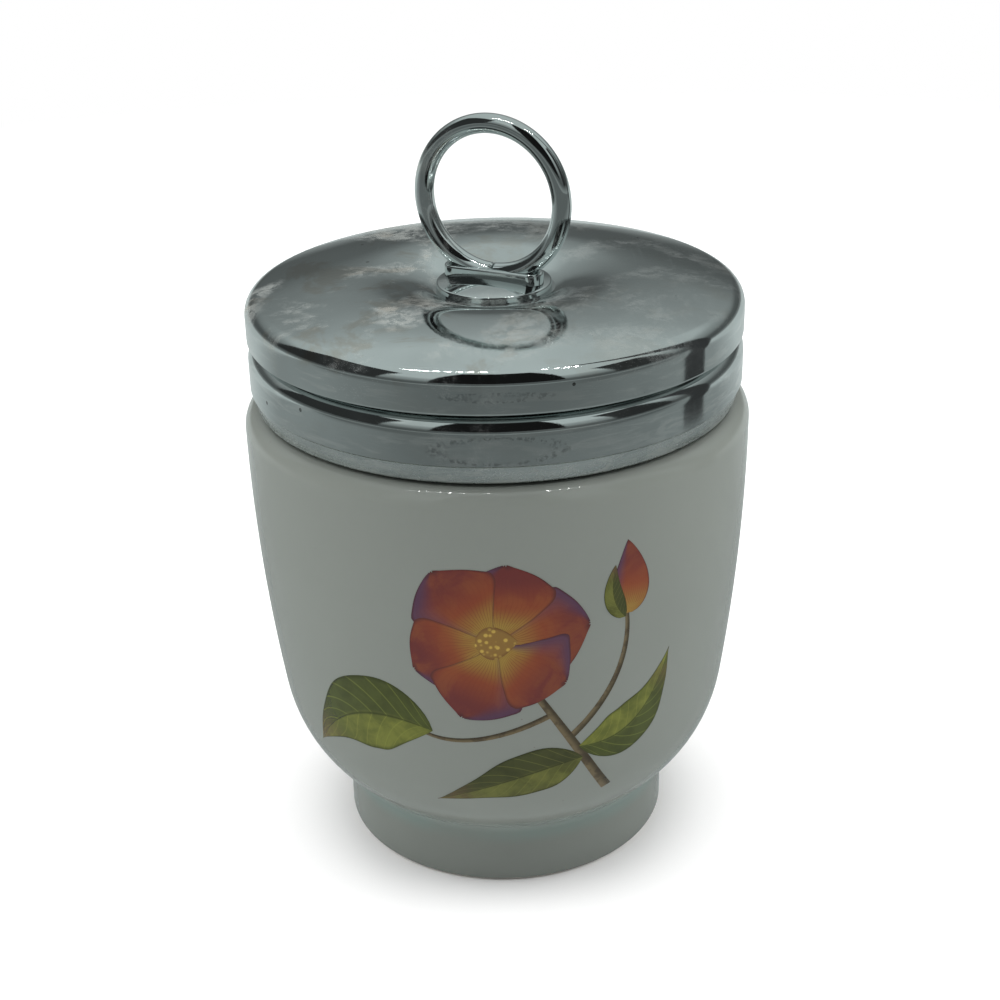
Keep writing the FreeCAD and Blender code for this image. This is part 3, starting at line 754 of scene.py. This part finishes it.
def leaf_ink(light, dark, tip):
    def build(n, place, along, t, reach):
        tone = n.noise(place, 330.0, 4.0, 0.6, 0.4)
        half = n.ramp(t, -0.12, 0.1)
        color = n.mix(half, dark, light)
        shade = n.math("MULTIPLY", n.ramp(tone, 0.35, 0.68), 0.55)
        color = n.mix(shade, color, tuple(0.55 * c for c in dark))
        color = n.mix(n.math("MULTIPLY", n.ramp(along, 0.7, 1.0), n.ramp(tone, 0.3, 0.6)), color, tip)
        slant = n.math("SUBTRACT", n.math("MULTIPLY", along, 9.0), n.math("MULTIPLY", reach, 1.9))
        vein = n.math("ABSOLUTE", n.math("SUBTRACT", n.math("FRACT", slant), 0.5))
        vein = n.math("MULTIPLY", n.ramp(vein, 0.0, 0.07, 1.0, 0.0), 0.4)
        color = n.mix(vein, color, tuple(1.5 * c for c in light))
        rib = n.ramp(reach, 0.0, 0.055, 1.0, 0.0)
        color = n.mix(n.math("MULTIPLY", rib, 0.75), color, tuple(0.4 * c for c in dark))
        rim = n.math("MULTIPLY", n.ramp(reach, 0.88, 0.99), 0.7)
        return n.mix(rim, color, tuple(0.45 * c for c in dark))
    return build


def petal_ink(n, place, along, t, reach):
    tone = n.noise(place, 260.0, 4.0, 0.6, 0.5)
    threads = n.math("ADD", n.math("MULTIPLY", t, 9.0), n.math("MULTIPLY", tone, 1.6))
    threads = n.math("ABSOLUTE", n.math("SUBTRACT", n.math("FRACT", threads), 0.5))
    color = n.mix(n.ramp(along, 0.12, 0.5), (0.25, 0.165, 0.035), (0.175, 0.042, 0.018))
    color = n.mix(n.ramp(along, 0.42, 0.86), color, (0.105, 0.024, 0.022))
    color = n.mix(n.math("MULTIPLY", n.ramp(tone, 0.4, 0.66), 0.45), color, (0.20, 0.062, 0.022))
    color = n.mix(n.math("MULTIPLY", n.ramp(t, 0.25, 0.95), 0.85), color, (0.06, 0.034, 0.068))
    threads = n.math("MULTIPLY", n.ramp(threads, 0.0, 0.16, 1.0, 0.0), n.ramp(along, 0.2, 0.55, 0.7, 0.15))
    color = n.mix(threads, color, (0.085, 0.02, 0.016))
    edge = n.math("MAXIMUM", n.ramp(reach, 0.9, 1.0), n.ramp(along, 0.94, 1.0))
    return n.mix(n.math("MULTIPLY", edge, 0.75), color, (0.05, 0.018, 0.02))


def heart_ink(n, place, along, t, reach):
    dots = n.ramp(n.cells(place, 1500.0), 0.2, 0.5)
    color = n.mix(dots, (0.40, 0.28, 0.06), (0.19, 0.11, 0.03))
    return n.mix(n.math("MULTIPLY", n.ramp(reach, 0.7, 1.0), 0.6), color, (0.10, 0.045, 0.02))


def stem_ink(n, place, along, t, reach):
    tone = n.noise(place, 700.0, 3.0, 0.6)
    color = n.mix(n.ramp(t, -0.7, 0.6), (0.045, 0.036, 0.02), (0.115, 0.09, 0.05))
    return n.mix(n.math("MULTIPLY", n.ramp(tone, 0.45, 0.62), 0.6), color, (0.03, 0.022, 0.015))


green_ink = leaf_ink((0.135, 0.15, 0.028), (0.052, 0.064, 0.015), (0.10, 0.07, 0.03))
olive_ink = leaf_ink((0.105, 0.112, 0.026), (0.042, 0.047, 0.014), (0.09, 0.055, 0.03))
green_leaf = print_inks("print_green", green_ink)
olive_leaf = print_inks("print_olive", olive_ink)
petals = print_inks("print_petal", petal_ink)
heart = print_inks("print_heart", heart_ink)
bark = print_inks("print_stem", stem_ink)

BLOOM = (1.5, 34.0)
PETAL_LENGTHS = (9.9, 9.2, 10.4, 9.5, 10.1, 9.0)

# Name, curve, half width, profile, height over the glaze, ink, steps along, steps across, ruffle
SPRIG = [
    ("print_stem_main", [(13.5, 12.8), (8.4, 22.5), BLOOM], 0.62, stem_profile, 0.022, bark, 40, 6, 0.0),
    ("print_stem_bud", [(8.9, 21.0), (14.6, 28.6), (15.4, 37.0)], 0.42, stem_profile, 0.020, bark,
     30, 6, 0.0),
    ("print_stem_left", [(7.2, 24.6), (-1.5, 21.6), (-7.5, 22.6)], 0.36, stem_profile, 0.020, bark,
     24, 6, 0.0),
    ("print_leaf_left", [(-5.6, 22.4), (-14.6, 22.4), (-21.6, 15.4)], 4.9, leaf_profile, 0.028, green_leaf,
     48, 16, 0.05),
    ("print_leaf_low", [(10.6, 18.2), (3.6, 16.4), (-5.4, 12.4)], 3.0, leaf_profile, 0.030, olive_leaf,
     40, 14, 0.05),
    ("print_leaf_right", [(10.2, 19.8), (17.0, 21.6), (21.4, 29.2)], 3.1, leaf_profile, 0.032, green_leaf,
     40, 14, 0.05),
    ("print_bud_back", [(15.2, 35.6), (16.0, 39.2), (15.6, 44.2)], 2.35, bud_profile, 0.030, petals,
     28, 12, 0.0),
    ("print_bud_front", [(15.4, 35.2), (14.0, 38.0), (14.2, 41.6)], 1.15, bud_profile, 0.040, olive_leaf,
     24, 8, 0.0),
]
for row in SPRIG:
    patch(*row)
for number, length in enumerate(PETAL_LENGTHS):
    angle = math.radians(60 * number + 14)
    turn = math.radians(9 if number % 2 else -6)
    curve = []
    for reach, lean in ((0.9, angle), (0.52 * length, angle + turn / 2), (length, angle + turn)):
        curve.append((BLOOM[0] + reach * math.cos(lean), BLOOM[1] + reach * math.sin(lean)))
    level = 0.034 + 0.004 * number
    patch(f"print_petal_{number + 1}", curve, 5.2, petal_profile, level, petals, 32, 16, 0.04)
heart_curve = [(BLOOM[0] - 2.2, BLOOM[1] - 0.2), (BLOOM[0], BLOOM[1] + 0.1), (BLOOM[0] + 2.2, BLOOM[1] + 0.2)]
patch("print_heart", heart_curve, 2.0, bud_profile, 0.062, heart, 20, 12)


# Floor, cards that only reflections see, lamps and world

def plain_panel(name, corners):
    mesh = bpy.data.meshes.new(name)
    mesh.from_pydata(corners, [], [(0, 1, 2, 3)])
    panel = bpy.data.objects.new(name, mesh)
    bpy.context.scene.collection.objects.link(panel)
    return panel


def glow(name, color, strength):
    material = bpy.data.materials.new(name)
    material.use_nodes = True
    tree = material.node_tree
    tree.nodes.clear()
    out = tree.nodes.new("ShaderNodeOutputMaterial")
    light = tree.nodes.new("ShaderNodeEmission")
    light.inputs["Color"].default_value = (*color, 1.0)
    light.inputs["Strength"].default_value = strength
    tree.links.new(light.outputs["Emission"], out.inputs["Surface"])
    return material


def card(name, corners, color, strength):
    """A panel that only mirror reflections see."""
    panel = plain_panel(name, corners)
    panel.data.materials.append(glow(name, color, strength))
    panel.visible_camera = False
    panel.visible_diffuse = False
    panel.visible_shadow = False
    panel.visible_transmission = False
    return panel


def grey_ramp(tree, stops):
    """Slightly cool greys along a ramp, each stop a place and a level."""
    tone = tree.nodes.new("ShaderNodeValToRGB")
    while len(tone.color_ramp.elements) < len(stops):
        tone.color_ramp.elements.new(0.5)
    for element, (where, level) in zip(tone.color_ramp.elements, stops):
        element.position = where
        element.color = (0.93 * level, 1.02 * level, 1.01 * level, 1.0)
    return tone


def floor_material():
    material = bpy.data.materials.new("pale_floor")
    material.use_nodes = True
    tree = material.node_tree
    tree.nodes.clear()
    out = tree.nodes.new("ShaderNodeOutputMaterial")
    path = tree.nodes.new("ShaderNodeLightPath")
    matt = tree.nodes.new("ShaderNodeBsdfDiffuse")
    matt.inputs["Color"].default_value = (0.97, 0.97, 0.97, 1.0)
    seen = tree.nodes.new("ShaderNodeEmission")
    place = tree.nodes.new("ShaderNodeTexCoord")
    split = tree.nodes.new("ShaderNodeSeparateXYZ")
    span = tree.nodes.new("ShaderNodeMapRange")
    span.inputs["From Min"].default_value = -0.2
    span.inputs["From Max"].default_value = 0.2
    tree.links.new(place.outputs["Object"], split.inputs[0])
    tree.links.new(split.outputs["Y"], span.inputs["Value"])
    # Dark in front of the object, brighter behind it
    tone = grey_ramp(tree, [(0.02, 0.16), (0.12, 0.20), (0.38, 0.31), (0.66, 0.36), (0.85, 0.62)])
    tree.links.new(span.outputs["Result"], tone.inputs["Fac"])
    tree.links.new(tone.outputs["Color"], seen.inputs["Color"])
    mix = tree.nodes.new("ShaderNodeMixShader")
    tree.links.new(path.outputs["Is Glossy Ray"], mix.inputs["Fac"])
    tree.links.new(matt.outputs["BSDF"], mix.inputs[1])
    tree.links.new(seen.outputs["Emission"], mix.inputs[2])
    # Far from the object the camera sees plain white, so that no horizon shows
    far = tree.nodes.new("ShaderNodeMapRange")
    far.inputs["From Min"].default_value = 0.22
    far.inputs["From Max"].default_value = 0.45
    reach = tree.nodes.new("ShaderNodeVectorMath")
    reach.operation = "LENGTH"
    tree.links.new(place.outputs["Object"], reach.inputs[0])
    tree.links.new(reach.outputs["Value"], far.inputs["Value"])
    share = tree.nodes.new("ShaderNodeMath")
    share.operation = "MULTIPLY"
    tree.links.new(far.outputs["Result"], share.inputs[0])
    tree.links.new(path.outputs["Is Camera Ray"], share.inputs[1])
    white = tree.nodes.new("ShaderNodeEmission")
    last = tree.nodes.new("ShaderNodeMixShader")
    tree.links.new(share.outputs[0], last.inputs["Fac"])
    tree.links.new(mix.outputs["Shader"], last.inputs[1])
    tree.links.new(white.outputs["Emission"], last.inputs[2])
    tree.links.new(last.outputs["Shader"], out.inputs["Surface"])
    return material


floor = plain_panel("floor", [(-3, -3, 0), (3, -3, 0), (3, 3, 0), (-3, 3, 0)])
floor.data.materials.append(floor_material())


def at(azimuth, distance, z):
    """A point at an azimuth counted from the front towards +X."""
    angle = math.radians(azimuth)
    return (distance * math.sin(angle), -distance * math.cos(angle), z)


def upright(name, first, last, distance, low, high, color, strength):
    turns = ((first, low), (last, low), (last, high), (first, high))
    card(name, [at(azimuth, distance, z) for azimuth, z in turns], color, strength)


# The dark opening in front, with a paler flap at each side
upright("front_opening_left", -29, 0, 0.42, 0.16, 1.2, (0.01, 0.01, 0.01), 1.0)
upright("front_opening_right", 0, 29, 0.42, 0.16, 1.2, (0.01, 0.01, 0.01), 1.0)
upright("side_gap", 86, 100, 0.17, 0.0, 0.6, (0.05, 0.052, 0.053), 1.0)
upright("left_dark", -112, -52, 0.5, 0.14, 0.62, (0.035, 0.037, 0.037), 1.0)
upright("right_dark", 52, 82, 0.5, 0.14, 0.62, (0.035, 0.037, 0.037), 1.0)
LAMP_STEP = 0.0235
LAMP_HALF = 0.0032
LAMP_Z = 0.5
for number in (-8, -7, -6, -5, -4, -3, -2, -1, 4, 5, 6, 7):
    x = number * LAMP_STEP
    left, right = x - LAMP_HALF, x + LAMP_HALF
    sides = ((left, -0.053), (right, -0.053), (right, -0.046), (left, -0.046))
    card(f"lamp_row_{number + 9}", [(*side, LAMP_Z) for side in sides], (1.0, 1.0, 1.0), 120.0)


def lamp(name, location, target, size, energy):
    data = bpy.data.lights.new(name, "AREA")
    data.shape = "SQUARE"
    data.size = size
    data.energy = energy
    light = bpy.data.objects.new(name, data)
    light.location = location
    light.rotation_euler = (Vector(target) - Vector(location)).to_track_quat("-Z", "Y").to_euler()
    light.visible_glossy = False
    bpy.context.scene.collection.objects.link(light)
    return light


lamp("top_light", (0.0, 0.0, 0.8), (0, 0, 0.03), 0.9, 9.0)
lamp("left_light", (-0.6, 0.12, 0.3), (0, 0, 0.04), 0.5, 2.6)
lamp("right_light", (0.6, 0.12, 0.3), (0, 0, 0.04), 0.5, 2.6)


def make_world():
    world = bpy.data.worlds.new("tent")
    bpy.context.scene.world = world
    world.use_nodes = True
    tree = world.node_tree
    tree.nodes.clear()
    out = tree.nodes.new("ShaderNodeOutputWorld")
    path = tree.nodes.new("ShaderNodeLightPath")
    direction = tree.nodes.new("ShaderNodeTexCoord")
    split = tree.nodes.new("ShaderNodeSeparateXYZ")
    tree.links.new(direction.outputs["Generated"], split.inputs[0])
    # Grey by height: darker near the horizon, brighter overhead
    stops = [(0.0, 0.30), (0.1, 0.11), (0.24, 0.13), (0.34, 0.27), (0.5, 0.40), (0.61, 0.60), (0.95, 0.62)]
    tone = grey_ramp(tree, stops)
    tree.links.new(split.outputs["Z"], tone.inputs["Fac"])
    tent = tree.nodes.new("ShaderNodeBackground")
    tree.links.new(tone.outputs["Color"], tent.inputs["Color"])
    fill = tree.nodes.new("ShaderNodeBackground")
    fill.inputs["Color"].default_value = (1.0, 1.0, 1.0, 1.0)
    fill.inputs["Strength"].default_value = 0.3
    white = tree.nodes.new("ShaderNodeBackground")
    white.inputs["Color"].default_value = (1.0, 1.0, 1.0, 1.0)
    white.inputs["Strength"].default_value = 1.0
    first = tree.nodes.new("ShaderNodeMixShader")
    second = tree.nodes.new("ShaderNodeMixShader")
    tree.links.new(path.outputs["Is Glossy Ray"], first.inputs["Fac"])
    tree.links.new(fill.outputs["Background"], first.inputs[1])
    tree.links.new(tent.outputs["Background"], first.inputs[2])
    tree.links.new(path.outputs["Is Camera Ray"], second.inputs["Fac"])
    tree.links.new(first.outputs["Shader"], second.inputs[1])
    tree.links.new(white.outputs["Background"], second.inputs[2])
    tree.links.new(second.outputs["Shader"], out.inputs["Surface"])


make_world()

# Camera, at the place and angle found from the outlines of the object
CAMERA_PLACE = (0.0, -0.20168, 0.13780)
pitch = math.radians(25.034)
yaw = math.radians(0.024)
roll = math.radians(-1.392)
forward = Vector((math.sin(yaw) * math.cos(pitch), math.cos(yaw) * math.cos(pitch), -math.sin(pitch)))
right = Vector((math.cos(yaw), -math.sin(yaw), 0.0))
up = right.cross(forward)
across = math.cos(roll) * right + math.sin(roll) * up
upward = -math.sin(roll) * right + math.cos(roll) * up
lens = bpy.data.cameras.new("camera")
lens.sensor_width = 36.0
lens.lens = 63.0
lens.clip_start = 0.01
camera = bpy.data.objects.new("camera", lens)
bpy.context.scene.collection.objects.link(camera)
axes = Matrix((across, upward, -forward)).transposed().to_4x4()
camera.matrix_world = Matrix.Translation(CAMERA_PLACE) @ axes
bpy.context.scene.camera = camera
bpy.context.scene.view_settings.view_transform = "Standard"
